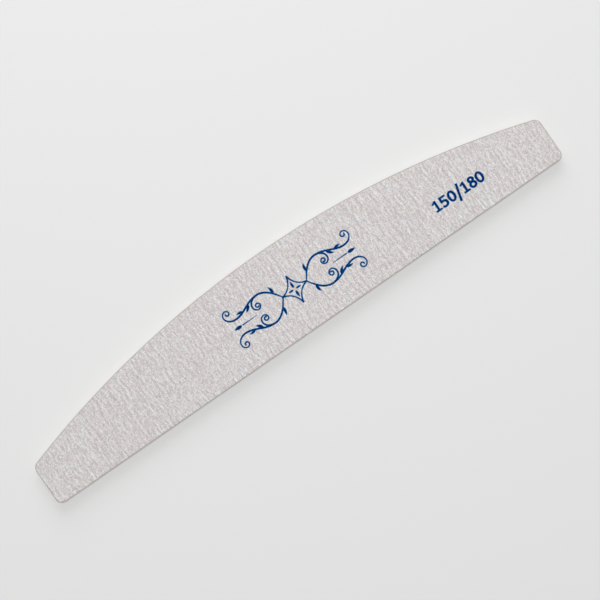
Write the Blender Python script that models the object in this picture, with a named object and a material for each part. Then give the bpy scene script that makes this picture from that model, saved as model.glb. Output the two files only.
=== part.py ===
# Half-moon nail file with a 150 grit face and a 180 grit face.
#
# Eleven flat pieces are glued face to face and die-cut through in one stroke, so they share one outline:
# a straight filing edge, a long shallow arc opposite it, and two short square ends with rounded corners.
# The die presses both abrasive sheets down into the foam along their rim, and the foam springs back with
# a wall that is drawn in.
#
# X runs along the file, Y across it with the arc at +Y, and Z up through the layers, with the 150 grit
# face on top. The origin is below the middle of the outline, on the surface that the file lies on.

import math

import bmesh
import bpy
from mathutils import Vector

MM = 0.001

# Outline of the die, seen from above
LENGTH = 180.0 * MM  # from one cut end to the other
WIDTH = 27.8 * MM  # from the straight edge to the crown of the arc
END_WIDTH = 13.7 * MM  # of each cut end, before its corners are rounded
STRAIGHT_CORNER_RADIUS = 2.0 * MM  # where an end meets the straight edge
ARC_CORNER_RADIUS = 2.3 * MM  # where an end meets the arc

# Layers, from the core outwards; the two faces differ only in their grain
CORE_THICKNESS = 0.8 * MM
CORE_TAPE_THICKNESS = 0.1 * MM
FOAM_THICKNESS = 1.1 * MM
SHEET_TAPE_THICKNESS = 0.1 * MM
PAPER_THICKNESS = 0.2 * MM
COAT_150_THICKNESS = 0.11 * MM
COAT_180_THICKNESS = 0.09 * MM

# What the die does to the edge
ROLL_WIDTH = 0.5 * MM  # how far in from the cut the abrasive sheets bend down
ROLL_DROP = 0.15 * MM  # how far they are pressed down at the cut
FOAM_DRAW_IN = 0.16 * MM  # deepest hollow of the foam's wall behind the cut
CORE_EDGE_BREAK = 0.06 * MM  # soft corner that the shear leaves on the core

# How finely the curves are divided
ARC_STEPS = 36
CORNER_STEPS = 7
ROLL_STEPS = 3
DRAW_IN_STEPS = 4
SHARP_ANGLE = math.radians(35)

# The arc runs through the sharp corners of both ends and over the crown
ARC_RISE = WIDTH - END_WIDTH
ARC_RADIUS = ((LENGTH / 2) ** 2 + ARC_RISE**2) / (2 * ARC_RISE)
ARC_CENTRE = Vector((0, WIDTH / 2 - ARC_RADIUS))

# Height of the core's middle above the surface that the 180 grit face lies on
PAD_THICKNESS = CORE_TAPE_THICKNESS + FOAM_THICKNESS
SHEET_THICKNESS = SHEET_TAPE_THICKNESS + PAPER_THICKNESS
MIDDLE_HEIGHT = CORE_THICKNESS / 2 + PAD_THICKNESS + SHEET_THICKNESS + COAT_180_THICKNESS

# Which side of the core a layer is on
UPPER = 1
LOWER = -1


# Outline

def arc(centre, radius, start, end, steps):
    """Points of a circular arc from the angle start to the angle end, both included."""
    angles = [start + (end - start) * step / steps for step in range(steps + 1)]
    return [centre + radius * Vector((math.cos(a), math.sin(a))) for a in angles]


def outline(inset):
    """Anticlockwise half-moon outline, moved in from the cut by inset, always with as many points.

    Every point lies on a circle whose centre stays put while its radius shrinks by the inset, so
    outlines at different insets are parallel, and the strips between them are flat or evenly curved.
    """
    low = STRAIGHT_CORNER_RADIUS
    low_centre = Vector((LENGTH / 2 - low, low - WIDTH / 2))
    high = ARC_CORNER_RADIUS
    high_x = LENGTH / 2 - high
    high_centre = Vector((high_x, ARC_CENTRE.y + math.sqrt((ARC_RADIUS - high) ** 2 - high_x**2)))
    join = math.atan2(high_centre.y - ARC_CENTRE.y, high_x)  # where the arc takes over from the corner

    right = arc(low_centre, low - inset, -math.pi / 2, 0, CORNER_STEPS)
    right += arc(high_centre, high - inset, 0, join, CORNER_STEPS)
    crown = arc(ARC_CENTRE, ARC_RADIUS - inset, join, math.pi - join, ARC_STEPS)[1:-1]
    left = [Vector((-point.x, point.y)) for point in reversed(right)]
    return right + crown + left


# Cross-sections, from a layer's inner face to its outer face, as pairs of the inset from the cut and the
# reach from the middle of the core

def pressed(inset):
    """How far the die has pushed an abrasive sheet towards the core, at an inset from the cut."""
    return ROLL_DROP * (1 - inset / ROLL_WIDTH) ** 2


def rolled_face(reach):
    """Face that is flat in the field and bends towards the core at its rim, from the cut inwards."""
    insets = [ROLL_WIDTH * step / ROLL_STEPS for step in range(ROLL_STEPS + 1)]
    return [(inset, reach - pressed(inset)) for inset in insets]


def sheet_section(inner, outer):
    """Thin sheet whose two faces bend together, so that it nests in its neighbours."""
    return rolled_face(inner)[::-1] + rolled_face(outer)


def foam_section(inner, outer):
    """Flat on the core side, bent on the sheet side, with the cut wall drawn in between them."""
    rim = outer - pressed(0)
    wall = [(0, inner)]
    for step in range(1, DRAW_IN_STEPS):
        share = step / DRAW_IN_STEPS
        wall.append((FOAM_DRAW_IN * math.sin(math.pi * share), inner + (rim - inner) * share))
    return wall + rolled_face(outer)


def flat_section(inner, outer):
    """Plain film with a straight cut wall."""
    return [(0, inner), (0, outer)]


def core_section(inner, outer):
    """Stiff strip whose two cut corners are softened by the shear."""
    soft = CORE_EDGE_BREAK
    return [(soft, inner), (0, inner + soft), (0, outer - soft), (soft, outer)]


# Solids and materials

def skin(bm, rings):
    """Close a body through rings of equal count, capped downwards at the first and upwards at the last."""
    loops = [[bm.verts.new(point) for point in ring] for ring in rings]
    bm.faces.new(reversed(loops[0]))
    for near, far in zip(loops, loops[1:]):
        for this in range(len(near)):
            last = this - 1
            bm.faces.new((near[last], near[this], far[this], far[last]))
    bm.faces.new(loops[-1])


def finish(name, srgb, roughness):
    """Principled material from a colour as the eye sees it; nothing in the file is metal."""
    material = bpy.data.materials.new(name)
    material.use_nodes = True
    shader = material.node_tree.nodes["Principled BSDF"]
    colour = (*(((channel + 0.055) / 1.055) ** 2.4 for channel in srgb), 1.0)
    shader.inputs["Base Color"].default_value = colour
    shader.inputs["Roughness"].default_value = roughness
    shader.inputs["Metallic"].default_value = 0.0
    material.diffuse_color = colour
    return material


def layer(name, section, side, material, middle):
    """One piece of the laminate: its section carried round the outline, above or below the core."""
    rings = [[(*point, side * reach) for point in outline(inset)] for inset, reach in section]
    bm = bmesh.new()
    skin(bm, rings if side == UPPER else rings[::-1])
    mesh = bpy.data.meshes.new(name)
    bm.to_mesh(mesh)
    bm.free()
    mesh.materials.append(material)
    mesh.shade_smooth()
    mesh.set_sharp_from_angle(angle=SHARP_ANGLE)
    piece = bpy.data.objects.new(name, mesh)
    piece.parent = middle
    bpy.context.scene.collection.objects.link(piece)


# The laminate

def core(middle):
    """Stiff white strip that keeps the file straight."""
    section = core_section(-CORE_THICKNESS / 2, CORE_THICKNESS / 2)
    layer("core_board", section, UPPER, finish("core_board", (0.93, 0.93, 0.91), 0.45), middle)


def filing_face(grit, side, coat_thickness, coat_colour, middle):
    """Everything between the core and one face, each piece starting where the one below it ends."""
    film = (0.88, 0.88, 0.84)
    stack = (
        ("core_tape", CORE_TAPE_THICKNESS, flat_section, film, 0.35),
        ("foam_pad", FOAM_THICKNESS, foam_section, (0.90, 0.89, 0.87), 0.85),
        ("sheet_tape", SHEET_TAPE_THICKNESS, sheet_section, film, 0.35),
        ("backing_paper", PAPER_THICKNESS, sheet_section, (0.70, 0.66, 0.62), 0.80),
        ("grit_coat", coat_thickness, sheet_section, coat_colour, 0.90),
    )
    reach = CORE_THICKNESS / 2
    for kind, thickness, section, colour, roughness in stack:
        name = f"{kind}_{grit}"
        layer(name, section(reach, reach + thickness), side, finish(name, colour, roughness), middle)
        reach += thickness


def nail_file():
    """The whole laminate, hung on an empty in the middle of its core."""
    middle = bpy.data.objects.new("middle_of_core", None)
    middle.location.z = MIDDLE_HEIGHT
    bpy.context.scene.collection.objects.link(middle)
    core(middle)
    filing_face("150", UPPER, COAT_150_THICKNESS, (0.812, 0.792, 0.792), middle)
    filing_face("180", LOWER, COAT_180_THICKNESS, (0.824, 0.808, 0.806), middle)
    bpy.context.view_layer.update()


for old in list(bpy.data.objects):
    bpy.data.objects.remove(old, do_unlink=True)
nail_file()
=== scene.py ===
# Half-moon nail file, 150 grit above and 180 grit below: a laminate of eleven glued sheets, die-cut in one
# stroke and printed in blue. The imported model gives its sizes, and this script gives its looks.
#
# Metres. X runs along the file, Y across it towards the arc, Z up through the layers.

import math

import bpy
import numpy as np
from mathutils import Euler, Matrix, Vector


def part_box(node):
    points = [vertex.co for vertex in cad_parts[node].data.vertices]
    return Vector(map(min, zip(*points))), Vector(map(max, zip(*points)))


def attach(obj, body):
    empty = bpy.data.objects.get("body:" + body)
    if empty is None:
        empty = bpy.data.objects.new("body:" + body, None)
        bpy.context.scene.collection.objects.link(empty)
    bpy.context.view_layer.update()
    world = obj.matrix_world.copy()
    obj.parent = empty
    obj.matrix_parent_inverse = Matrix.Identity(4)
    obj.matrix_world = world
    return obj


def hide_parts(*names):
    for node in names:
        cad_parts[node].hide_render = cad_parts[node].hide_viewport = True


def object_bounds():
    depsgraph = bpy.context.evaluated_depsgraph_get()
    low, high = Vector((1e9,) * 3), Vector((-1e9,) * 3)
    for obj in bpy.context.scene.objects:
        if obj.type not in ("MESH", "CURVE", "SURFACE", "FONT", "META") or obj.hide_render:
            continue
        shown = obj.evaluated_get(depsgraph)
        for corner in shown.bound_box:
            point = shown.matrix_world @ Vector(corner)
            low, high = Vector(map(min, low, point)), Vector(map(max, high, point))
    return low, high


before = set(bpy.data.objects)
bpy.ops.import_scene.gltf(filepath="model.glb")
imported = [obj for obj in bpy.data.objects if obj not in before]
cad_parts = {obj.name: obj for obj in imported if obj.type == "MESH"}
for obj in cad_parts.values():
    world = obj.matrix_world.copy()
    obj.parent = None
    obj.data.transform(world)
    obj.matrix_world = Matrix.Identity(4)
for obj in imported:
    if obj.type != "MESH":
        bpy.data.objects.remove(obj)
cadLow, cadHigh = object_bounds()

mm = 0.001
print("frame loaded:", len(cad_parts), "nodes")


# The outline that the die cuts, shared by every layer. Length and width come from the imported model.
blank = {
    "endWidth": 13.7 * mm,
    "straightCorner": 2.0 * mm,
    "arcCorner": 2.3 * mm,
    "rollWidth": 0.5 * mm,  # how far in from the cut the abrasive sheets bend inwards
    "rollDrop": 0.15 * mm,  # how far they are pressed in at the cut
    "pathStep": 0.3 * mm,  # along the cut, for the thin sheets
    "cornerSteps": 16,
}

halfLength = cadHigh.x
straightEdge = cadLow.y
crown = cadHigh.y

# The arc goes through the sharp corners of both ends, and each rounded corner lies inside its two lines
arcRise = crown - straightEdge - blank["endWidth"]
arcRadius = (halfLength**2 + arcRise**2) / (2 * arcRise)
arcY = crown - arcRadius
lowX = halfLength - blank["straightCorner"]
lowY = straightEdge + blank["straightCorner"]
highX = halfLength - blank["arcCorner"]
highY = arcY + math.sqrt((arcRadius - blank["arcCorner"]) ** 2 - highX**2)
join = math.atan2(highY - arcY, highX)  # angle at which the arc takes over from its corner


def cutEdges(x):
    # Lower and upper edge of the blank at x: the straight edge or its corner circle, and the arc or its own
    ax = np.abs(x)
    dip = blank["straightCorner"] ** 2 - np.clip(ax - lowX, 0, None) ** 2
    lower = lowY - np.sqrt(np.clip(dip, 0, None))
    arc = arcY + np.sqrt(arcRadius**2 - ax**2)
    shoulder = highY + np.sqrt(np.clip(blank["arcCorner"] ** 2 - (ax - highX) ** 2, 0, None))
    return lower, np.where(ax < arcRadius * math.cos(join), arc, shoulder)


def insetFromCut(x, y):
    # Distance from the cut: the least of the distances to the two edges and the end, and inside a corner's
    # sector the corner's radius less the distance from its centre
    ax = np.abs(x)
    inset = np.minimum(y - straightEdge, halfLength - ax)
    inset = np.minimum(inset, arcRadius - np.hypot(ax, y - arcY))
    inLow = (ax > lowX) & (y < lowY)
    inset = np.where(inLow, blank["straightCorner"] - np.hypot(ax - lowX, y - lowY), inset)
    bearing = np.arctan2(y - highY, ax - highX)
    inHigh = (ax > highX) & (bearing > 0) & (bearing < join)
    return np.where(inHigh, blank["arcCorner"] - np.hypot(ax - highX, y - highY), inset)


def rollAt(inset):
    # Drop of a rolled face: a parabola, from nothing at the roll's width to its full drop at the cut
    share = np.clip(1 - inset / blank["rollWidth"], 0, 1)
    return blank["rollDrop"] * share**2


def cutPath(step):
    # Points along the whole cut, anticlockwise from the left end of the straight edge, with the outward
    # normal and the distance walked so far: four lines and arcs on the right, their mirror on the left
    def line(start, end, outward):
        count = max(2, math.ceil(math.dist(start, end) / step))
        t = np.arange(count)[:, None] / count
        return np.array(start) * (1 - t) + np.array(end) * t, np.tile(outward, (count, 1))

    def bend(centre, radius, start, end):
        count = max(blank["cornerSteps"], math.ceil(radius * abs(end - start) / step))
        angle = start + (end - start) * np.arange(count) / count
        outward = np.column_stack([np.cos(angle), np.sin(angle)])
        return np.array(centre) + radius * outward, outward

    quarter = math.pi / 2
    pieces = [
        line((-lowX, straightEdge), (lowX, straightEdge), (0.0, -1.0)),
        bend((lowX, lowY), blank["straightCorner"], -quarter, 0),
        line((halfLength, lowY), (halfLength, highY), (1.0, 0.0)),
        bend((highX, highY), blank["arcCorner"], 0, join),
        bend((0, arcY), arcRadius, join, math.pi - join),
        bend((-highX, highY), blank["arcCorner"], math.pi - join, math.pi),
        line((-halfLength, highY), (-halfLength, lowY), (-1.0, 0.0)),
        bend((-lowX, lowY), blank["straightCorner"], math.pi, 3 * quarter),
    ]
    points, outward = (np.concatenate(parts) for parts in zip(*pieces))
    strides = np.linalg.norm(np.roll(points, -1, axis=0) - points, axis=1)
    return points, outward, np.concatenate([[0], np.cumsum(strides)[:-1]])


# Where each layer's flat field begins and ends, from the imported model. Both abrasive sheets and the tape
# under them are rolled inwards at the cut, so their box reaches lower than their field.
def fieldLevels(node, side, rolled=True):
    low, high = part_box(node)
    drop = blank["rollDrop"] if rolled else 0
    return (low.z + drop, high.z) if side > 0 else (high.z - drop, low.z)


def meshPiece(name, points, quads, caps=(), attributes=None):
    # One closed mesh from its corners, its four-sided faces and a few many-sided caps
    mesh = bpy.data.meshes.new(name)
    corners = np.concatenate([quads.ravel(), *caps]).astype(np.int32)
    sizes = np.array([quads.shape[1]] * len(quads) + [len(cap) for cap in caps])
    mesh.vertices.add(len(points))
    mesh.vertices.foreach_set("co", points.astype(np.float32).ravel())
    mesh.loops.add(len(corners))
    mesh.loops.foreach_set("vertex_index", corners)
    mesh.polygons.add(len(sizes))
    mesh.polygons.foreach_set("loop_start", (np.cumsum(sizes) - sizes).astype(np.int32))
    for label, values in (attributes or {}).items():
        layer = mesh.attributes.new(label, "FLOAT", "POINT")
        layer.data.foreach_set("value", values.astype(np.float32).ravel())
    mesh.update(calc_edges=True)
    mesh.validate()
    piece = bpy.data.objects.new(name, mesh)
    bpy.context.scene.collection.objects.link(piece)
    return piece


sharpAngles = {"coat": 50, "sheet": 40, "foam": 60, "core": 40, "print": 50}  # degrees


def smooth(piece, degrees):
    # Soft shading, broken where two faces meet at more than the angle
    piece.data.shade_smooth()
    piece.data.set_sharp_from_angle(angle=math.radians(degrees))


def gridQuads(index):
    # Faces of a grid of corner numbers, anticlockwise where the first axis is X and the second is Y
    corners = [index[:-1, :-1], index[1:, :-1], index[1:, 1:], index[:-1, 1:]]
    return np.stack(corners, axis=-1).reshape(-1, 4)


# Seeded noise on a raster, read back between its points

raster = {
    "stepX": 0.1 * mm,
    "stepY": 0.2 * mm,
    "margin": 3.0 * mm,
    "clear": 1.001,  # steps by which a reading stays clear of the last row and column
}
fullBite = 2  # spreads above its mean at which a noise bites to its full depth


def shapedNoise(seed, keep):
    # White noise whose waves are kept or dropped by keep(fx, fy), in waves per metre, then brought to a
    # mean of nought and a spread of one
    width = 2 * (halfLength + raster["margin"])
    height = crown - straightEdge + 2 * raster["margin"]
    shape = (round(width / raster["stepX"]), round(height / raster["stepY"]))
    noise = np.fft.fft2(np.random.default_rng(seed).standard_normal(shape))
    fx = np.fft.fftfreq(shape[0], raster["stepX"])[:, None]
    fy = np.fft.fftfreq(shape[1], raster["stepY"])[None, :]
    field = np.fft.ifft2(noise * keep(fx, fy)).real
    return (field - field.mean()) / field.std()


def slowerThan(waves):
    # Keeps slow waves and lets quick ones fade as a bell curve with a spread of so many in a metre
    return lambda fx, fy: np.exp(-(fx**2 + fy**2) / (2 * waves**2))


def readRaster(field, x, y):
    # Bilinear reading: each point takes its four nearest raster values by how near they are
    lastColumn, lastRow = np.array(field.shape) - raster["clear"]
    column = np.clip((x + halfLength + raster["margin"]) / raster["stepX"], 0, lastColumn)
    row = np.clip((y - straightEdge + raster["margin"]) / raster["stepY"], 0, lastRow)
    i = column.astype(int)
    j = row.astype(int)
    u = column - i
    v = row - j
    near = field[i, j] * (1 - u) + field[i + 1, j] * u
    far = field[i, j + 1] * (1 - u) + field[i + 1, j + 1] * u
    return near * (1 - v) + far * v


def biteShare(noise):
    # Share of the full depth: nought below the noise's mean, and rising evenly to one
    return np.clip(noise, 0, fullBite) / fullBite


# The abrasive coats. Resin drawn across the paper leaves short wavy ridges with grain in them.
coats = {
    "grit_coat_150": {
        "side": 1,
        "slot": "grit_150",
        "seed": 150,
        "relief": 0.012 * mm,  # spread of the ridges' height
        "highest": 0.030 * mm,  # the ridges' tops above the mean face
        "ridgePitch": 1.4 * mm,
        "pitchSpread": 0.45,  # as a share of the waves in a metre
        "ridgeLength": 4.2 * mm,
        "lean": 0.05,  # sideways shift of a ridge for each unit across the file
        "waver": 0.20 * mm,
        "waverWaves": 200,  # in a metre; a ridge wavers no quicker
        "columnStep": 0.175 * mm,
        "rowsAcross": 64,
        "chip": 0.035 * mm,  # deepest bite that the die leaves in the coat's rim
        "chipReach": 0.12 * mm,
        "chipWaves": 1400,  # in a metre, likewise
        "cut": (0.690, 0.645, 0.615),  # where the die has bruised the rim
        "grain": 0.40 * mm,
        "speck": 0.13 * mm,
        "light": (0.977, 0.955, 0.949),
        "lightCool": (0.950, 0.961, 0.975),
        "dark": (0.744, 0.682, 0.679),
        "darkCool": (0.720, 0.688, 0.704),
        "green": (0.977, 1.000, 0.977),  # what single grains let through of the light
        "pink": (1.000, 0.990, 1.000),
        "contrast": 1.33,
    },
}
coats["grit_coat_180"] = coats["grit_coat_150"] | {
    "side": -1,
    "slot": "grit_180",
    "seed": 180,
    "relief": 0.009 * mm,
    "ridgePitch": 1.2 * mm,
    "grain": 0.35 * mm,
    "speck": 0.11 * mm,
    "light": (0.981, 0.962, 0.959),
    "lightCool": (0.960, 0.968, 0.981),
    "dark": (0.760, 0.702, 0.701),
    "darkCool": (0.736, 0.708, 0.723),
    "contrast": 1.20,
}
rimInsets = np.array([0, 0.03, 0.08, 0.15, 0.24, 0.35, 0.5]) * mm  # rows of a rolled face, from the cut in
printSpace = 0.014 * mm  # room that the print takes above a ridge


def ridgeField(coat):
    # Ridges: noise kept in a band of waves along the file and in long ones only across it. A slower noise
    # comes with it, for their wavering.
    centre = 1 / coat["ridgePitch"]
    spread = coat["pitchSpread"] * centre
    across = 1 / (2 * coat["ridgeLength"])
    ridges = shapedNoise(
        coat["seed"],
        lambda fx, fy: np.exp(-(((np.abs(fx) - centre) / spread) ** 2) / 2 - (fy / across) ** 2 / 2),
    )
    return ridges, shapedNoise(coat["seed"] + 1, slowerThan(coat["waverWaves"]))


def ridgeAt(coat, fields, x, y):
    # Height of the ridges, in spreads: their noise read at places that are shifted along the file
    ridges, wander = fields
    shift = coat["waver"] * readRaster(wander, x, y) + coat["lean"] * y
    return readRaster(ridges, x + shift, y)


def coatFace(coat, fields, level, x, y):
    # Outer face: the field's level less the roll at the cut and less room for the print, plus the ridges
    relief = np.clip(coat["relief"] * ridgeAt(coat, fields, x, y), None, coat["highest"])
    height = relief - coat["highest"] - printSpace - rollAt(insetFromCut(x, y))
    return level + coat["side"] * height


def coatColumns(step):
    # Even columns, and at both ends as many as a quarter turn takes, so that the corners come out round
    widest = max(blank["straightCorner"], blank["arcCorner"])
    inner = halfLength - widest
    middle = np.linspace(-inner, inner, round(2 * inner / step) + 1)
    turn = np.linspace(0, math.pi / 2, blank["cornerSteps"] + 1)[1:]
    end = inner + widest * np.sin(turn)
    return np.concatenate([-end[::-1], middle, end])


def acrossRows(x, count):
    # Rows at fixed insets from both edges, and even ones between them
    lower, upper = cutEdges(x)
    share = np.linspace(0, 1, count + 2)[1:-1]
    first = lower[:, None] + rimInsets
    last = upper[:, None] - rimInsets[::-1]
    between = first[:, -1:] + (last[:, :1] - first[:, -1:]) * share
    return np.concatenate([first, between, last], axis=1)


def gritCoat(name, coat):
    # A grid of columns and rows lifted to the ridged face, a plain inner face, and walls and ends between
    fields = ridgeField(coat)
    crumbs = shapedNoise(coat["seed"] + 2, slowerThan(coat["chipWaves"]))
    inner, outer = fieldLevels(name, coat["side"])
    x = coatColumns(coat["columnStep"])
    y = acrossRows(x, coat["rowsAcross"])
    xx = np.repeat(x[:, None], y.shape[1], axis=1)
    inset = insetFromCut(xx, y)
    z = coatFace(coat, fields, outer, xx, y)

    # Bites: points near the cut move inwards, along the slope of the inset
    probe = 0.01 * mm
    slopeX = (insetFromCut(xx + probe, y) - insetFromCut(xx - probe, y)) / (2 * probe)
    slopeY = (insetFromCut(xx, y + probe) - insetFromCut(xx, y - probe)) / (2 * probe)
    near = np.clip(1 - inset / coat["chipReach"], 0, 1)
    bite = coat["chip"] * near * biteShare(readRaster(crumbs, xx, y))
    outerPoints = np.stack([xx + slopeX * bite, y + slopeY * bite, z], axis=-1)

    # The inner face lies on the paper, with rows at the rim alone
    yIn = acrossRows(x, 0)
    xIn = np.repeat(x[:, None], yIn.shape[1], axis=1)
    zIn = inner - coat["side"] * rollAt(insetFromCut(xIn, yIn))
    innerPoints = np.stack([xIn, yIn, zIn], axis=-1)

    points = np.concatenate([outerPoints.reshape(-1, 3), innerPoints.reshape(-1, 3)])
    outerIndex = np.arange(outerPoints[..., 0].size).reshape(y.shape)
    innerIndex = outerIndex.size + np.arange(yIn.size).reshape(yIn.shape)
    frontWall = np.stack([innerIndex[:, 0], outerIndex[:, 0]], axis=1)
    backWall = np.stack([outerIndex[:, -1], innerIndex[:, -1]], axis=1)
    faces = [gridQuads(outerIndex), gridQuads(innerIndex)[:, ::-1]]
    quads = np.concatenate([*faces, gridQuads(frontWall), gridQuads(backWall)])
    caps = [
        np.concatenate([innerIndex[-1], outerIndex[-1, ::-1]]),
        np.concatenate([outerIndex[0], innerIndex[0, ::-1]]),
    ]
    if coat["side"] < 0:
        quads = quads[:, ::-1]
        caps = [cap[::-1] for cap in caps]
    ridge = np.concatenate([ridgeAt(coat, fields, xx, y).ravel(), np.zeros(yIn.size)])
    rim = np.concatenate([np.clip(1 - inset / rimInsets[-1], 0, 1).ravel(), np.ones(yIn.size)])
    piece = meshPiece(name.replace("coat", "face"), points, quads, caps, {"ridge": ridge, "rim": rim})
    smooth(piece, sharpAngles["coat"])
    return piece, fields, outer


# Sheets between the coats: a section carried along the cut and closed by two flat caps

def carried(name, path, insets, levels, side=1, attributes=None):
    # Each row of insets and levels is one ring: the cut moved in along its normal, at that height
    points, outward, _ = path
    rings = points[None] - insets[..., None] * outward[None]
    corners = np.concatenate([rings, np.broadcast_to(levels[..., None], (*insets.shape, 1))], axis=-1)
    index = np.arange(insets.size).reshape(insets.shape)
    closed = np.concatenate([index, index[:, :1]], axis=1)
    quads = gridQuads(closed)[:, ::-1]
    caps = [index[0, ::-1], index[-1]]
    if side < 0:
        quads = quads[:, ::-1]
        caps = [cap[::-1] for cap in caps]
    return meshPiece(name, corners.reshape(-1, 3), quads, caps, attributes)


edgeWaves = {
    "sines": 24,
    "slowest": 0.4,  # as a share of the mean number of waves round the cut
    "quickest": 1.8,
}


def wave(along, seed, length):
    # Smooth wander along the closed cut: a sum of sines, each with a whole number of waves, about one
    # per length
    random = np.random.default_rng(seed)
    total = along[-1] + (along[1] - along[0])
    mean = total / length
    shares = random.uniform(edgeWaves["slowest"], edgeWaves["quickest"], edgeWaves["sines"])
    counts = np.round(mean * shares)
    phases = random.uniform(0, 2 * math.pi, edgeWaves["sines"])
    waves = np.sin(2 * math.pi * counts[:, None] * along[None] / total + phases[:, None])
    return waves.sum(axis=0) / math.sqrt(len(counts) / 2)


sheets = {
    "backing_paper": {"slot": "backing_paper", "fray": 0.012 * mm, "frayLength": 0.9 * mm, "seed": 3},
    "sheet_tape": {"slot": "tape_film", "fray": 0.010 * mm, "frayLength": 2.4 * mm, "seed": 13},
    "core_tape": {"slot": "tape_film", "fray": 0.010 * mm, "frayLength": 3.1 * mm, "seed": 23},
}


def thinSheet(node, side, sheet, path):
    # Inner face from its field out to the cut, a wall, and the outer face back in; the wall frays a little
    rolled = not node.startswith("core_tape")
    inner, outer = fieldLevels(node, side, rolled)
    reach = rimInsets[::-1] if rolled else rimInsets[1::-1]
    insets = np.concatenate([reach, reach[::-1]])
    faces = np.repeat([inner, outer], len(reach))
    drops = rollAt(insets) if rolled else np.zeros(len(insets))
    levels = np.repeat((faces - side * drops)[:, None], len(path[2]), axis=1)
    fray = sheet["fray"] * biteShare(wave(path[2], sheet["seed"] + side, sheet["frayLength"]))
    grid = insets[:, None] + fray[None] * (insets[:, None] < rimInsets[1])
    piece = carried(node.replace("paper", "sheet").replace("tape", "film"), path, grid, levels, side)
    smooth(piece, sharpAngles["sheet"])
    return piece


# Foam pads. The cells are cut open by the die, and the wall springs back a little hollow.
foam = {
    "slot": "foam",
    "pathStep": 0.1 * mm,
    "rowsUp": 12,
    "drawIn": 0.13 * mm,
    "cell": 0.34 * mm,
    "shake": 0.32,  # how far a cell's middle may stray, in cells
    "smallest": 0.38,  # radius of its pit, in cells
    "largest": 0.66,
    "spare": 4,  # cells past the end of the wall, so that its last points have neighbours
    "pitDepth": 0.10 * mm,
    "seed": 26,
}


def cellPits(along, up, seed):
    # Open cells: middles on a shaken grid, each with a round pit that is deepest there. Every point takes
    # the deepest of the nine pits round it.
    size = foam["cell"]
    random = np.random.default_rng(seed)
    columns = int(along.max() / size) + foam["spare"]
    rows = int(up.max() / size) + foam["spare"]
    shake = random.uniform(-foam["shake"], foam["shake"], (2, columns, rows))
    radius = random.uniform(foam["smallest"], foam["largest"], (columns, rows))
    a = along / size + 1
    b = up / size + 1
    deepest = np.zeros(np.broadcast(a, b).shape)
    for i in (-1, 0, 1):
        for j in (-1, 0, 1):
            ci = np.floor(a).astype(int) + i
            cj = np.floor(b).astype(int) + j
            da = a - (ci + 0.5 + shake[0, ci, cj])
            db = b - (cj + 0.5 + shake[1, ci, cj])
            pit = 1 - (da**2 + db**2) / radius[ci, cj] ** 2
            deepest = np.maximum(deepest, np.sqrt(np.clip(pit, 0, None)))
    return deepest


def foamPad(node, side):
    # Flat towards the core, rolled towards the sheet, and between them a wall that sinks by half a sine
    path = cutPath(foam["pathStep"])
    along = path[2]
    low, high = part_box(node)
    inner, outer = (low.z, high.z) if side > 0 else (high.z, low.z)
    rim = outer - side * blank["rollDrop"]
    share = np.linspace(0, 1, foam["rowsUp"] + 1)
    up = share * abs(rim - inner)
    hollow = np.sin(math.pi * share)[:, None]
    pits = cellPits(along[None], up[:, None], foam["seed"] + side)
    wall = foam["drawIn"] * hollow + foam["pitDepth"] * pits * np.sqrt(hollow)
    wallLevels = np.repeat((inner + (rim - inner) * share)[:, None], len(along), axis=1)
    rolled = rimInsets[2:, None] + np.zeros(len(along))
    insets = np.concatenate([wall, rolled])
    levels = np.concatenate([wallLevels, outer - side * rollAt(rolled)])
    depth = np.concatenate([pits, np.zeros(rolled.shape)])
    piece = carried(node.replace("pad", "cushion"), path, insets, levels, side, {"pit": depth})
    smooth(piece, sharpAngles["foam"])
    return piece


# The core is sheared, which softens its corners and leaves fine upright scratches
core = {
    "slot": "core_plastic",
    "edgeBreak": 0.06 * mm,
    "cornerRows": 4,
    "scratch": 0.010 * mm,
    "scratchLength": 0.8 * mm,
    "seed": 8,
}


def coreBoard(node, path):
    # A face, a quarter circle, the upright wall, a quarter circle and the other face. Scratches dent the
    # wall.
    low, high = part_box(node)
    soft = core["edgeBreak"]
    turn = np.linspace(0, math.pi / 2, core["cornerRows"])
    corner = soft * (1 - np.sin(turn))
    lift = soft * (1 - np.cos(turn))
    inset = np.concatenate([[rimInsets[-1]], corner, corner[::-1], [rimInsets[-1]]])
    level = np.concatenate([[low.z], low.z + lift, high.z - lift[::-1], [high.z]])
    dents = core["scratch"] * biteShare(wave(path[2], core["seed"], core["scratchLength"]))
    insets = inset[:, None] + dents[None] * (inset[:, None] < soft)
    levels = np.repeat(level[:, None], len(path[2]), axis=1)
    piece = carried("core_strip", path, insets, levels)
    smooth(piece, sharpAngles["core"])
    return piece


# Print. Lines and leaves are strokes, points with a half width each; the ink is where the distance to the
# nearest stroke is less than its half width.

figures = {
    "place": (49.85 * mm, -6.30 * mm),  # left end of the base line
    "cap": 3.53 * mm,
    "stem": 0.81 * mm,
    "thin": 0.67 * mm,
    "bowPoints": 40,
}
ornament = {
    "place": (2.85 * mm, -0.82 * mm),
    "line": 0.60 * mm,
    "points": 80,  # in a scroll or a leaf
    "sidePoints": 30,  # in a side of the lozenge
    "tip": (0, 4.5 * mm),
    "waist": (0.9 * mm, 0.75 * mm),  # draws the lozenge's side in
    "side": (4.3 * mm, 0),
    "sideThinner": 0.25,  # how much thinner its line is half way
    # Scrolls: start, heading, length and bends
    "great": ((4.2 * mm, 0), 58, 19.5 * mm, (-20, -80, -200, -300, -620, -1100, -2200)),
    "branch": 27,  # the point of the great scroll that the outer one leaves from
    "outer": (20.5 * mm, (-220, -130, 20, 160, 420, 850, 2100)),
    "swells": (0.7, 1.1, 1.1, 0.8, 0.9),  # a scroll's width along its length, as a share of the line's
    "leafSkew": 0.75,  # below one, a leaf is widest near its root
    "leafTip": 0.04 * mm,  # half its width at its tip
}
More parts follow.
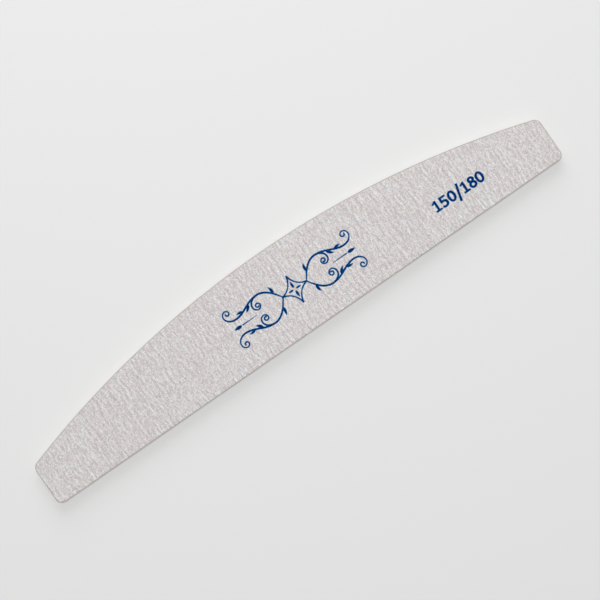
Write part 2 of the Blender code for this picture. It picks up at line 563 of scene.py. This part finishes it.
ink = {
    "slot": "print_ink",
    "grid": 0.1 * mm,
    "border": 3,  # grid steps round the strokes
    "clear": 1e-3,  # how far a grid corner is kept from the edge, in grid steps
    "thickness": 0.009 * mm,
    "sunk": 0.012 * mm,  # its underside below the coat's face
    "shoulder": 0.08 * mm,  # how far in from its edge the film gets its full thickness
    "paleEdge": 0.26 * mm,  # how far in it gets its full colour
    "ragged": 0.030 * mm,  # how much the grain makes its edge wander
    "raggedWaves": 1100,  # in a metre, at the most
    "seed": 7,
}


def stroke(points, halfWidths):
    # Points and as many half widths, where one may stand for all
    points = np.array(points, float)
    return points, np.broadcast_to(np.array(halfWidths, float), (len(points),))


def bow(centre, radii, start, end, width, swell=0.0):
    # Part of an ellipse, wider at its sides than at its top and foot by the swell
    angle = np.radians(np.linspace(start, end, figures["bowPoints"]))
    points = np.array(centre) + np.column_stack([radii[0] * np.cos(angle), radii[1] * np.sin(angle)])
    return stroke(points, width / 2 * (1 + swell * np.cos(2 * angle)))


def curl(start, heading, length, bends, width):
    # A line from its start and heading, in degrees, that turns by its curvature, in radians for a metre at
    # even shares of its length, and swells likewise. The heading at each point lets others branch off.
    share = np.linspace(0, 1, ornament["points"])
    bend = np.interp(share, np.linspace(0, 1, len(bends)), bends)
    stride = length / (len(share) - 1)
    turned = np.concatenate([[0], np.cumsum((bend[1:] + bend[:-1]) / 2 * stride)])
    way = math.radians(heading) + turned
    between = (way[1:] + way[:-1]) / 2
    steps = stride * np.column_stack([np.cos(between), np.sin(between)])
    points = np.array(start) + np.concatenate([np.zeros((1, 2)), np.cumsum(steps, axis=0)])
    swells = ornament["swells"]
    half = width / 2 * np.interp(share, np.linspace(0, 1, len(swells)), swells)
    return points, half, np.degrees(way)


def leaf(root, heading, length, width, bend=0.0):
    # An evenly bent line that swells by half a sine, skewed towards its root
    points, _, _ = curl(root, heading, length, (bend, bend), width)
    share = np.linspace(0, 1, len(points))
    swell = np.sin(math.pi * share ** ornament["leafSkew"])
    return stroke(points, width / 2 * swell + ornament["leafTip"])


def figureStrokes():
    # The two grit numbers in plain upright figures, with a slash between them
    cap = figures["cap"]
    stem = figures["stem"]
    thin = figures["thin"]
    strokes = []
    for x in (1.14 * mm, 11.12 * mm):  # ones, with a flag and a foot
        strokes.append(stroke([(x, 0), (x, cap)], stem / 2))
        strokes.append(stroke([(x, cap - thin / 2), (x - 1.06 * mm, cap - 0.86 * mm)], thin / 2))
        strokes.append(stroke([(x - 1.08 * mm, thin / 2), (x + 1.1 * mm, thin / 2)], thin / 2))
    strokes.append(stroke([(4.84 * mm, cap - thin / 2), (2.64 * mm, cap - thin / 2)], thin / 2))  # five
    strokes.append(stroke([(2.99 * mm, cap), (2.94 * mm, 1.62 * mm)], stem / 2))
    strokes.append(bow((3.5 * mm, 1.13 * mm), (0.98 * mm, 0.88 * mm), 122, -128, stem, 0.12))
    for x in (6.42 * mm, 16.3 * mm):  # noughts
        strokes.append(bow((x, cap / 2), (0.90 * mm, cap / 2 - thin / 2), 0, 360, stem, 0.08))
    strokes.append(stroke([(8.03 * mm, -1.15 * mm), (9.44 * mm, cap + 0.62 * mm)], stem / 2))  # slash
    strokes.append(bow((13.66 * mm, 2.60 * mm), (0.71 * mm, 0.62 * mm), 0, 360, stem, 0.08))  # eight
    strokes.append(bow((13.66 * mm, 1.04 * mm), (0.86 * mm, 0.78 * mm), 0, 360, stem, 0.08))
    return strokes


def ornamentStrokes():
    # A quarter of the scrollwork, which the other three mirror: one side of a lozenge, bent as a parabola,
    # with its petals, a great scroll from the lozenge's side corner, an outer one that branches off it, and
    # their leaves
    line = ornament["line"]
    t = np.linspace(0, 1, ornament["sidePoints"])[:, None]
    tip, waist, side = (np.array(ornament[name]) for name in ("tip", "waist", "side"))
    edge = tip * (1 - t) ** 2 + 2 * waist * t * (1 - t) + side * t**2
    thinner = ornament["sideThinner"] * np.sin(math.pi * t[:, 0])
    great = curl(*ornament["great"], line)
    branch = ornament["branch"]
    outer = curl(great[0][branch], great[2][branch], *ornament["outer"], line)
    quarter = [
        stroke(edge, line / 2 * (1 - thinner)),
        leaf((0, 0.5 * mm), 90, 2.2 * mm, 0.75 * mm),
        leaf((0.5 * mm, 0), 0, 1.7 * mm, 0.6 * mm),
        great[:2],
        outer[:2],
        leaf(great[0][12], great[2][12] + 50, 2.7 * mm, 0.85 * mm, -250),
        leaf(outer[0][20], outer[2][20] - 42, 2.7 * mm, 0.85 * mm, 250),
        leaf(outer[0][30], outer[2][30] + 46, 2.3 * mm, 0.75 * mm, -250),
        stroke([(13.6 * mm, 0), (18.6 * mm, 0)], (0.10 * mm, 0.23 * mm)),
        leaf((18.9 * mm, 0), 0, 2.6 * mm, 1.0 * mm),
    ]
    mirrors = [(flipX, flipY) for flipX in (1, -1) for flipY in (1, -1)]
    return [(points * mirror, half) for mirror in mirrors for points, half in quarter]


def inkDistance(strokes, x, y):
    # Distance to the nearest stroke, less its half width there: negative inside the ink. A curve's ends are
    # round; a straight stroke of two points is cut off square at both.
    nearest = np.full(x.shape, np.inf)
    for points, half in strokes:
        for a, b, ha, hb in zip(points[:-1], points[1:], half[:-1], half[1:]):
            along = b - a
            length = math.hypot(*along)
            s = ((x - a[0]) * along[0] + (y - a[1]) * along[1]) / length
            t = np.clip(s / length, 0, 1)
            gap = np.hypot(x - a[0] - t * along[0], y - a[1] - t * along[1]) - (ha * (1 - t) + hb * t)
            if len(points) == 2:
                gap = np.maximum(gap, np.maximum(-s, s - length))
            nearest = np.minimum(nearest, gap)
    return nearest


def turned(triangles, first):
    # The same triangles, each starting at its corner of that number
    order = (first[:, None] + np.arange(3)) % 3
    return np.take_along_axis(triangles, order, axis=1)


def inkFilm(name, strokes, place, coat, fields, level):
    # A thin closed film over every part of a triangle grid where the distance is negative. A triangle that
    # the edge crosses is cut there: one corner inside leaves a triangle, two leave two.
    points = np.concatenate([points for points, _ in strokes])
    widest = max(half.max() for _, half in strokes) + ink["border"] * ink["grid"]
    low = points.min(axis=0) - widest
    high = points.max(axis=0) + widest
    xs = np.arange(low[0], high[0], ink["grid"])
    ys = np.arange(low[1], high[1], ink["grid"])
    x, y = np.meshgrid(xs, ys, indexing="ij")
    ragged = shapedNoise(ink["seed"], slowerThan(ink["raggedWaves"]))
    stray = ink["ragged"] * readRaster(ragged, x + place[0], y + place[1]) / 2
    distance = inkDistance(strokes, x, y) + stray
    least = ink["clear"] * ink["grid"]
    distance = np.where(np.abs(distance) < least, least, distance).ravel()

    quads = gridQuads(np.arange(x.size).reshape(x.shape))
    triangles = np.concatenate([quads[:, [0, 1, 2]], quads[:, [0, 2, 3]]])
    inside = distance[triangles] < 0
    count = inside.sum(axis=1)

    # Each crossed triangle starts at its odd corner, the only one inside or outside
    whole = triangles[count == 3]
    one = turned(triangles[count == 1], np.argmax(inside[count == 1], axis=1))
    two = turned(triangles[count == 2], np.argmin(inside[count == 2], axis=1))

    # Number the crossings, one for each grid line that the edge cuts
    cuts = np.concatenate([one[:, [0, 1]], one[:, [0, 2]], two[:, [0, 1]], two[:, [0, 2]]])
    lines, which = np.unique(np.sort(cuts, axis=1), axis=0, return_inverse=True)
    which = which.ravel() + x.size
    share = distance[lines[:, 0]] / (distance[lines[:, 0]] - distance[lines[:, 1]])
    flat = np.stack([x.ravel(), y.ravel()], axis=1)
    crossings = flat[lines[:, 0]] * (1 - share[:, None]) + flat[lines[:, 1]] * share[:, None]
    p, q, r, s = np.split(which, np.cumsum([len(one), len(one), len(two)]))
    faces = np.concatenate(
        [
            whole,
            np.stack([one[:, 0], p, q], axis=1),
            np.stack([r, two[:, 1], two[:, 2]], axis=1),
            np.stack([r, two[:, 2], s], axis=1),
        ]
    )
    rim = np.concatenate([np.stack([p, q], axis=1), np.stack([s, r], axis=1)])

    # Keep the corners in use, drape them on the coat, and close the film with an underside and a rim wall
    used, faces = np.unique(faces, return_inverse=True)
    faces = faces.reshape(-1, 3)
    renumber = np.full(x.size + len(lines), -1)
    renumber[used] = np.arange(len(used))
    rim = renumber[rim]
    flat = np.concatenate([flat, crossings])[used] + place
    depth = np.concatenate([-distance, np.zeros(len(lines))])[used]
    rise = ink["thickness"] * np.sqrt(np.clip(depth / ink["shoulder"], 0, 1))
    ground = coatFace(coat, fields, level, flat[:, 0], flat[:, 1])
    top = np.column_stack([flat, ground + rise])
    bottom = np.column_stack([flat, ground - ink["sunk"]])
    under = faces[:, ::-1] + len(used)
    wall = np.stack([rim[:, 1], rim[:, 0], rim[:, 0] + len(used), rim[:, 1] + len(used)], axis=1)
    walls = np.concatenate([wall[:, [0, 1, 2]], wall[:, [0, 2, 3]]])
    full = np.tile(np.clip(depth / ink["paleEdge"], 0, 1), 2)
    skin = np.concatenate([faces, under, walls])
    piece = meshPiece(name, np.concatenate([top, bottom]), skin, attributes={"full": full})
    smooth(piece, sharpAngles["print"])
    return piece


# Finishes. Every pattern is on Object coordinates or on the piece's own attributes. A look gives the
# weights that the named parts of its pattern have in the tone, the roughness and the relief.

halfWay = 0.5  # between nought and one, or between two colours
cellEdge = 0.75  # how far a cell's edge is from its middle, in cells


def linear(colour):
    # A colour as the eye sees it, turned into shares of light
    return (*(((c + 0.055) / 1.055) ** 2.4 for c in colour), 1.0)


class Finish:
    # A material's node tree, with one short call for each kind of node

    def __init__(self, name):
        self.material = bpy.data.materials.new(name)
        self.material.use_nodes = True
        self.tree = self.material.node_tree
        self.shader = self.tree.nodes["Principled BSDF"]
        self.where = self.tree.nodes.new("ShaderNodeTexCoord").outputs["Object"]

    def node(self, kind, inputs=None, **settings):
        # A new node: an input given as a socket is linked, and any other is a value
        made = self.tree.nodes.new(kind)
        for label, value in settings.items():
            setattr(made, label, value)
        for label, value in (inputs or {}).items():
            if isinstance(value, bpy.types.NodeSocket):
                self.tree.links.new(value, made.inputs[label])
            else:
                made.inputs[label].default_value = value
        return made

    def attribute(self, name):
        return self.node("ShaderNodeAttribute", attribute_name=name).outputs["Fac"]

    def maths(self, operation, first, second=0.0, clamp=False):
        inputs = {0: first, 1: second}
        return self.node("ShaderNodeMath", inputs, operation=operation, use_clamp=clamp).outputs[0]

    def aboutNought(self, socket):
        # A value between nought and one, moved down by half
        return self.maths("SUBTRACT", socket, halfWay)

    def noise(self, size, detail=2.0, roughness=0.5, where=None):
        # Noise about nought, its spread roughly a fifth
        inputs = {"Vector": where or self.where, "Scale": 1 / size}
        inputs |= {"Detail": detail, "Roughness": roughness}
        return self.aboutNought(self.node("ShaderNodeTexNoise", inputs).outputs[0])

    def streaks(self, waves, detail=3.0, roughness=0.6):
        # Noise with so many waves in a metre along each axis
        where = self.node("ShaderNodeMapping", {"Vector": self.where, "Scale": waves}).outputs[0]
        return self.noise(1.0, detail, roughness, where)

    def twoNoises(self, size):
        # Two noises about nought, unlike each other, from two channels of one noise
        inputs = {"Vector": self.where, "Scale": 1 / size, "Detail": 1.0}
        colour = self.node("ShaderNodeTexNoise", inputs).outputs["Color"]
        channels = self.node("ShaderNodeSeparateColor", {"Color": colour}).outputs
        return [self.aboutNought(channel) for channel in channels[:2]]

    def step(self, socket, start, end, top=1.0):
        # Rises smoothly from nought at the start to the top at the end
        inputs = {"Value": socket, "From Min": start, "From Max": end, "To Max": top}
        return self.node("ShaderNodeMapRange", inputs, interpolation_type="SMOOTHSTEP").outputs[0]

    def grains(self, size):
        # Cells about so large: one random grey each, about nought, and a dome that is one in the cell's
        # middle and about nought where it meets its neighbours
        cells = self.node("ShaderNodeTexVoronoi", {"Vector": self.where, "Scale": 1 / size})
        grey = self.node("ShaderNodeSeparateColor", {"Color": cells.outputs["Color"]}).outputs[0]
        return self.aboutNought(grey), self.step(cells.outputs["Distance"], cellEdge, 0.0)

    def sum(self, parts, weights, shift=0.0, clamp=False):
        # The named parts, each by its weight, and the shift
        total = 0.0
        for name, weight in weights.items():
            inputs = {0: parts[name], 1: weight, 2: total}
            total = self.node("ShaderNodeMath", inputs, operation="MULTIPLY_ADD").outputs[0]
        return self.maths("ADD", total, shift, clamp)

    def blend(self, share, first, second, kind="MIX"):
        # From the first colour to the second by the share; each is a colour or a socket
        ends = [end if isinstance(end, bpy.types.NodeSocket) else linear(end) for end in (first, second)]
        inputs = {0: share, 6: ends[0], 7: ends[1]}
        settings = {"data_type": "RGBA", "blend_type": kind, "clamp_factor": True}
        return self.node("ShaderNodeMix", inputs, **settings).outputs[2]

    def toned(self, look, parts):
        # From the look's dark colour to its light one by the sum of the parts
        return self.blend(self.sum(parts, look["tone"], look["lightness"]), look["dark"], look["light"])

    def use(self, label, socket):
        self.tree.links.new(socket, self.shader.inputs[label])

    def cover(self, look, parts, colour=None):
        # Roughness and a bump from sums of the parts, and the colour too unless one is given
        self.use("Base Color", colour or self.toned(look, parts))
        self.use("Roughness", self.sum(parts, look["rough"], look["roughness"], clamp=True))
        height = self.sum(parts, look["relief"])
        inputs = {"Height": height, "Distance": look["bump"], "Strength": look["strength"]}
        self.use("Normal", self.node("ShaderNodeBump", inputs).outputs[0])
        return self.material


gritLook = {
    "cloud": 2.6 * mm,
    "fleck": (0.35 * mm, 1.15 * mm, 0.35 * mm),
    "hueSize": 0.42 * mm,
    "grainRoughness": 0.62,  # how much finer noise the grain has in it
    "grainHeight": 0.8,  # mean height of a grain's dome
    "tone": {"ridge": 0.075, "fleck": 0.90, "fine": 0.70, "speck": 0.66, "cloud": 0.10},
    # The stand weight here paints each grain lighter at its top and darker where it meets its neighbours: a
    # painted highlight and painted shade on the grains
    "paintedGrainLight": {"stand": 0.45},  # weights in the tone that the coat's contrast doesn't change
    "lightness": 0.325,
    "hue": {"warm": 3.4},
    "tint": {"green": 3.4},
    "bruise": {"rim": 1.0, "fine": 0.5},
    "bruiseSpan": (0.2, 0.95, 0.95),  # where it starts, where it is full, and its share there
    "rough": {"speck": 0.5, "fine": 0.2},
    "roughness": 0.72,
    "relief": {"stand": 1.0, "fine": 1.5},
    "bump": 0.045 * mm,
    "strength": 1.0,
}


def grainParts(finish, coat):
    # Two sizes of grain: noise, and single grains with a grey and a dome each
    fine = finish.noise(coat["grain"], roughness=gritLook["grainRoughness"])
    speck, dome = finish.grains(coat["speck"])
    return {"fine": fine, "speck": speck, "dome": dome}


def gritFinish(name, coat):
    # Light ridges and darker hollows, broken up by flecks along them, by grain of two sizes and by slow
    # clouds. Grains go from warm to cool and from green to pink, and the rim is bruised by the die.
    finish = Finish(name)
    parts = grainParts(finish, coat)
    parts["ridge"] = finish.attribute("ridge")
    parts["rim"] = finish.attribute("rim")
    parts["cloud"] = finish.noise(gritLook["cloud"], detail=1.0)
    fleckWaves = [1 / size for size in gritLook["fleck"]]
    parts["fleck"] = finish.streaks(fleckWaves, detail=1.5, roughness=0.5)
    # Each grain's dome, scaled by its own grey: its bump, and in the tone a painted highlight on its top
    # and painted shade at its foot
    height = finish.maths("ADD", parts["speck"], gritLook["grainHeight"])
    parts["stand"] = finish.maths("MULTIPLY", parts["dome"], height)
    parts["warm"], parts["green"] = finish.twoNoises(gritLook["hueSize"])
    hue = finish.sum(parts, gritLook["hue"], halfWay)
    tint = finish.sum(parts, gritLook["tint"], halfWay)
    weights = {part: weight * coat["contrast"] for part, weight in gritLook["tone"].items()}
    share = finish.sum(parts, weights | gritLook["paintedGrainLight"], gritLook["lightness"])
    dark = finish.blend(hue, coat["dark"], coat["darkCool"])
    light = finish.blend(hue, coat["light"], coat["lightCool"])
    through = finish.blend(tint, coat["green"], coat["pink"])
    colour = finish.blend(1.0, finish.blend(share, dark, light), through, "MULTIPLY")
    bruise = finish.step(finish.sum(parts, gritLook["bruise"]), *gritLook["bruiseSpan"])
    return finish.cover(gritLook, parts, finish.blend(bruise, colour, coat["cut"]))


paperLook = {
    "fibres": (900, 2600, 5000),  # waves in a metre along, across and through the sheet
    "cloud": 3.0 * mm,
    "dark": (0.61, 0.565, 0.52),
    "light": (0.77, 0.73, 0.69),
    "tone": {"fibre": 1.1, "cloud": 0.5},
    "lightness": 0.5,
    "rough": {"fibre": 0.3},
    "roughness": 0.85,
    "relief": {"fibre": 1.0},
    "bump": 0.02 * mm,
    "strength": 0.6,
}


def paperFinish():
    # Fibres: noise stretched along the sheet, over slow clouds
    finish = Finish("kraft_paper")
    parts = {"fibre": finish.streaks(paperLook["fibres"]), "cloud": finish.noise(paperLook["cloud"])}
    return finish.cover(paperLook, parts)


tapeLook = {
    "cloud": 1.6 * mm,
    "bubble": 0.3 * mm,
    "dark": (0.83, 0.82, 0.785),
    "light": (0.92, 0.915, 0.895),
    "tone": {"cloud": 1.2, "bubble": 0.2},
    "lightness": 0.5,
    "rough": {"cloud": 0.3},
    "roughness": 0.35,
    "relief": {"cloud": 1.0},
    "bump": 0.01 * mm,
    "strength": 0.4,
}


def tapeFinish():
    # Nearly clear film over glue, with slow clouds and small bubbles
    finish = Finish("tape")
    parts = {"cloud": finish.noise(tapeLook["cloud"], detail=3.0)}
    parts["bubble"], _ = finish.grains(tapeLook["bubble"])
    return finish.cover(tapeLook, parts)


foamLook = {
    "smallCell": 0.15 * mm,
    "grain": 0.12 * mm,
    "dark": (0.71, 0.69, 0.665),
    "light": (0.91, 0.90, 0.885),
    # The pit and dome weights darken the tone where the wall is hollow: painted shade
    "tone": {"pit": -0.5, "cell": 0.3, "dome": -0.35, "fine": 0.6},
    "lightness": 0.98,
    "rough": {"fine": 0.2},
    "roughness": 0.88,
    "relief": {"dome": -1.0, "fine": 0.8},
    "bump": 0.04 * mm,
    "strength": 1.0,
}


def foamFinish():
    # Off-white cells with smaller cells between them, painted darker down in the pits and in the small
    # cells' hollows as painted shade
    finish = Finish("foam_cells")
    parts = {"pit": finish.attribute("pit"), "fine": finish.noise(foamLook["grain"])}
    parts["cell"], parts["dome"] = finish.grains(foamLook["smallCell"])
    return finish.cover(foamLook, parts)


coreLook = {
    "marks": (4200, 4200, 300),  # waves in a metre along, across and up the wall
    "cloud": 4.0 * mm,
    "dark": (0.89, 0.89, 0.87),
    "light": (0.96, 0.96, 0.945),
    "tone": {"mark": 0.9, "cloud": 0.6},
    "lightness": 0.5,
    "rough": {"mark": 0.5},
    "roughness": 0.45,
    "relief": {"mark": 1.0},
    "bump": 0.015 * mm,
    "strength": 0.6,
}


def coreFinish():
    # White plastic: fine upright shear marks, glossy streaks between them
    finish = Finish("white_core")
    parts = {"mark": finish.streaks(coreLook["marks"]), "cloud": finish.noise(coreLook["cloud"])}
    return finish.cover(coreLook, parts)


inkLook = {
    "patch": 0.8 * mm,
    "dark": (0.0, 0.018, 0.252),
    "light": (0.0, 0.173, 0.452),
    "edge": (0.0, 0.460, 0.670),  # where the film is thin
    "worn": (0.32, 0.47, 0.66),  # where a grain sticks up through it
    "tone": {"patch": 2.4, "fine": 0.8, "speck": 0.3},
    "lightness": 0.5,
    "film": {"full": 1.0, "fine": 1.5, "speck": 0.35},
    "filmLeast": 0.08,  # at the very edge
    "wear": {"fine": 1.6, "speck": 0.5},
    "wearFrom": 0.5,
    "rough": {"speck": 0.25},
    "roughness": 0.55,
    "relief": {"dome": 0.6, "fine": 1.2},
    "bump": 0.045 * mm,
    "strength": 1.0,
    "specular": 0.02,
}


def inkFinish(coat):
    # Dark blue in patches, brighter towards the film's edges and paler on the highest grains
    finish = Finish("blue_print")
    finish.shader.inputs["Specular IOR Level"].default_value = inkLook["specular"]
    parts = grainParts(finish, coat)
    parts["full"] = finish.attribute("full")
    parts["patch"] = finish.noise(inkLook["patch"])
    film = finish.sum(parts, inkLook["film"], inkLook["filmLeast"])
    wear = finish.sum(parts, inkLook["wear"], -inkLook["wearFrom"])
    blue = finish.blend(film, inkLook["edge"], finish.toned(inkLook, parts))
    return finish.cover(inkLook, parts, finish.blend(wear, blue, inkLook["worn"]))


# The pieces, from the core outwards

def dress(piece, material, slot, *nodes):
    # Its material, the solids that it stands for, which are hidden, and the body that it is part of. The
    # slot is not used.
    piece.data.materials.append(material)
    if nodes:
        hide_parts(*nodes)
    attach(piece, "root")
    print("made", piece.name, len(piece.data.polygons), "faces")


path = cutPath(blank["pathStep"])
dress(coreBoard("core_board", path), coreFinish(), core["slot"], "core_board")

foamCells = foamFinish()
kraftPaper = paperFinish()
clearTape = tapeFinish()
sheetFinishes = {"backing_paper": kraftPaper, "sheet_tape": clearTape, "core_tape": clearTape}
for grit, side in (("150", 1), ("180", -1)):
    for kind, sheet in sheets.items():
        node = f"{kind}_{grit}"
        dress(thinSheet(node, side, sheet, path), sheetFinishes[kind], sheet["slot"], node)
    pad = foamPad(f"foam_pad_{grit}", side)
    dress(pad, foamCells, foam["slot"], f"foam_pad_{grit}")

for name, coat in coats.items():
    piece, fields, level = gritCoat(name, coat)
    dress(piece, gritFinish(coat["slot"], coat), coat["slot"], name)
    if coat["side"] > 0:
        printed = (coat, fields, level)

bluePrint = inkFinish(printed[0])
prints = (("grit_figures", figureStrokes(), figures), ("scroll_ornament", ornamentStrokes(), ornament))
for name, strokes, values in prints:
    dress(inkFilm(name, strokes, values["place"], *printed), bluePrint, ink["slot"])


# Floor, light and camera

studio = {
    "turn": 34.6477,  # degrees that the file is turned in the picture, anticlockwise
    "aim": (2.29 * mm, -4.33 * mm, 4.0 * mm),
    "height": 0.6,
    "pictureWidth": 0.1761,  # what 600 pixels span at the height of the upper face
    "sensor": 36.0,
    "floorSize": 4.0,
    "floor": (0.903, 0.903, 0.903),
    "floorRoughness": 0.9,
    "backdrop": 0.79,
    "plainFrom": 0.16,  # beyond this the floor melts into the backdrop
    "plainTo": 0.7,
    "ambient": 0.33,
}
lamps = {
    # Each stands over the aim, by so many degrees from the picture's top towards its left
    "ceiling": {"size": 0.2, "distance": 1.2, "elevation": 89.0, "bearing": 0.0, "power": 6.9},
    "window": {"size": 0.60, "distance": 0.6, "elevation": 36.0, "bearing": 13.0, "power": 1.4},
}


def addFloor():
    # A square under the file. For the camera it melts into the backdrop, by a smooth step in the distance.
    size = studio["floorSize"] / 2
    corners = np.array([(-size, -size, 0), (size, -size, 0), (size, size, 0), (-size, size, 0)])
    floor = meshPiece("table_top", corners, np.array([[0, 1, 2, 3]]))
    finish = Finish("table_paint")
    finish.shader.inputs["Base Color"].default_value = linear(studio["floor"])
    finish.shader.inputs["Roughness"].default_value = studio["floorRoughness"]
    finish.shader.inputs["Specular IOR Level"].default_value = 0.0
    glow = finish.node("ShaderNodeEmission", {"Color": (studio["backdrop"],) * 3 + (1,)})
    distance = finish.node("ShaderNodeVectorMath", {0: finish.where}, operation="LENGTH").outputs["Value"]
    ramp = finish.step(distance, studio["plainFrom"], studio["plainTo"])
    camera = finish.node("ShaderNodeLightPath").outputs["Is Camera Ray"]
    share = finish.maths("MULTIPLY", ramp, camera)
    mix = finish.node("ShaderNodeMixShader", {0: share, 1: finish.shader.outputs[0], 2: glow.outputs[0]})
    output = finish.tree.nodes["Material Output"]
    finish.tree.links.new(mix.outputs[0], output.inputs["Surface"])
    floor.data.materials.append(finish.material)


def addLamp(name, values):
    # A round lamp on a sphere about the aim, facing it
    bearing = math.radians(90 + values["bearing"] - studio["turn"])
    elevation = math.radians(values["elevation"])
    level = math.cos(elevation)
    way = Vector((level * math.cos(bearing), level * math.sin(bearing), math.sin(elevation)))
    lamp = bpy.data.lights.new(name, "AREA")
    lamp.shape = "DISK"
    lamp.size = values["size"]
    lamp.energy = values["power"]
    holder = bpy.data.objects.new(name, lamp)
    holder.location = Vector(studio["aim"]) + way * values["distance"]
    holder.rotation_euler = way.to_track_quat("Z", "Y").to_euler()
    holder.visible_camera = False
    bpy.context.scene.collection.objects.link(holder)


def addWorld():
    # Even white light, and for the camera a plain pale backdrop
    world = bpy.data.worlds.new("room")
    world.use_nodes = True
    nodes = world.node_tree.nodes
    ambient = nodes["Background"]
    ambient.inputs["Strength"].default_value = studio["ambient"]
    ambient.inputs["Color"].default_value = (1, 1, 1, 1)
    backdrop = nodes.new("ShaderNodeBackground")
    backdrop.inputs["Color"].default_value = (studio["backdrop"],) * 3 + (1,)
    camera = nodes.new("ShaderNodeLightPath")
    mix = nodes.new("ShaderNodeMixShader")
    link = world.node_tree.links.new
    link(camera.outputs["Is Camera Ray"], mix.inputs[0])
    link(ambient.outputs[0], mix.inputs[1])
    link(backdrop.outputs[0], mix.inputs[2])
    link(mix.outputs[0], nodes["World Output"].inputs["Surface"])
    bpy.context.scene.world = world


def addCamera():
    # Straight above, with the picture's width set by the lens for that height
    data = bpy.data.cameras.new("camera")
    data.sensor_width = studio["sensor"]
    data.lens = studio["sensor"] * studio["height"] / studio["pictureWidth"]
    camera = bpy.data.objects.new("camera", data)
    camera.location = Vector(studio["aim"]) + Vector((0, 0, studio["height"]))
    camera.rotation_euler = Euler((0, 0, -math.radians(studio["turn"])))
    bpy.context.scene.collection.objects.link(camera)
    bpy.context.scene.camera = camera


addFloor()
for name, values in lamps.items():
    addLamp(name, values)
addWorld()
addCamera()
bpy.context.scene.view_settings.view_transform = "Standard"
print("studio ready")
